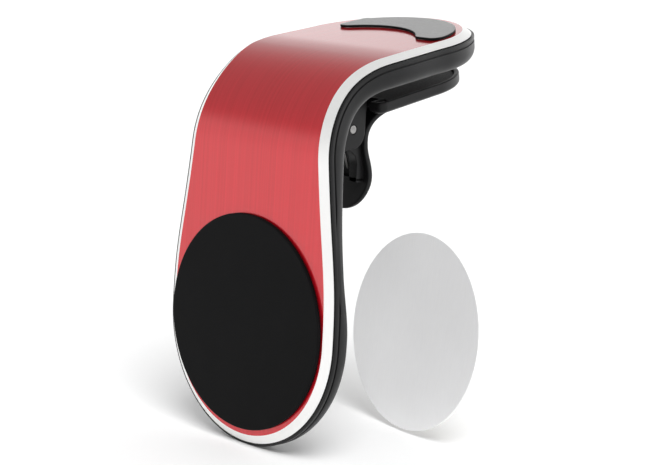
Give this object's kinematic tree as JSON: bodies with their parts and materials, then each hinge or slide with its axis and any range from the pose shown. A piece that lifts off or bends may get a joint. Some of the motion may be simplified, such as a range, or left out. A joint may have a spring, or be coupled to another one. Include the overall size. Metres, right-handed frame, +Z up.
{
  "type": "car phone mount",
  "caption": "Magnetic car phone mount with a bent metal face plate, a round pad over magnets and a sprung clip for an air vent slat, with a loose steel disc for the phone.",
  "frame": {"origin": "centre of the round pad's front face", "axes": "-Y out of the pad towards the phone, +Z up along the face plate, +X across it"},
  "size_m": [0.0514, 0.0488, 0.0787],
  "materials": {
    "red_aluminium": "red anodised with a fine brushed grain and a bare cut edge",
    "tape": "thin double-sided tape",
    "black_plastic": "fine matt texture",
    "magnet": "nickel plated",
    "plain_steel": "zinc plated",
    "pad_rubber": "smooth matt",
    "jaw_rubber": "matt",
    "bright_steel": "bright drawn wire and rod",
    "disc_steel": "satin, faint grain",
    "liner": "peel-off paper"
  },
  "bodies": {
    "mount": {"face_plate": "red_aluminium", "plate_tape": "tape", "front_bezel": "black_plastic", "back_shell": "black_plastic", "magnet_1": "magnet", "magnet_2": "magnet", "magnet_3": "magnet", "magnet_4": "magnet", "magnet_5": "magnet", "magnet_6": "magnet", "yoke_plate": "plain_steel", "front_pad_tape": "tape", "front_pad": "pad_rubber", "arm_pad_tape": "tape", "arm_pad": "pad_rubber", "upper_jaw_pad": "jaw_rubber", "pivot_pin": "bright_steel", "torsion_spring": "bright_steel"},
    "lever": {"clip_lever": "black_plastic", "lower_jaw_pad": "jaw_rubber"},
    "phone_disc": {"phone_plate": "disc_steel", "phone_plate_tape": "tape", "phone_plate_liner": "liner"}
  },
  "joints": [
    {"name": "lever_hinge", "type": "hinge", "parent": "mount", "child": "lever", "pos_m": [0, 0.0186, 0.03555], "axis": [-1, 0, 0], "range_deg": [0, 22], "stiffness_Nm_per_rad": 0.05, "springref_deg": -45.84, "deforming": ["torsion_spring"]},
    {"name": "disc_slide", "type": "slide", "parent": "mount", "child": "phone_disc", "axis": [1, 0, 0], "range_m": [0, 0.06]}
  ]
}
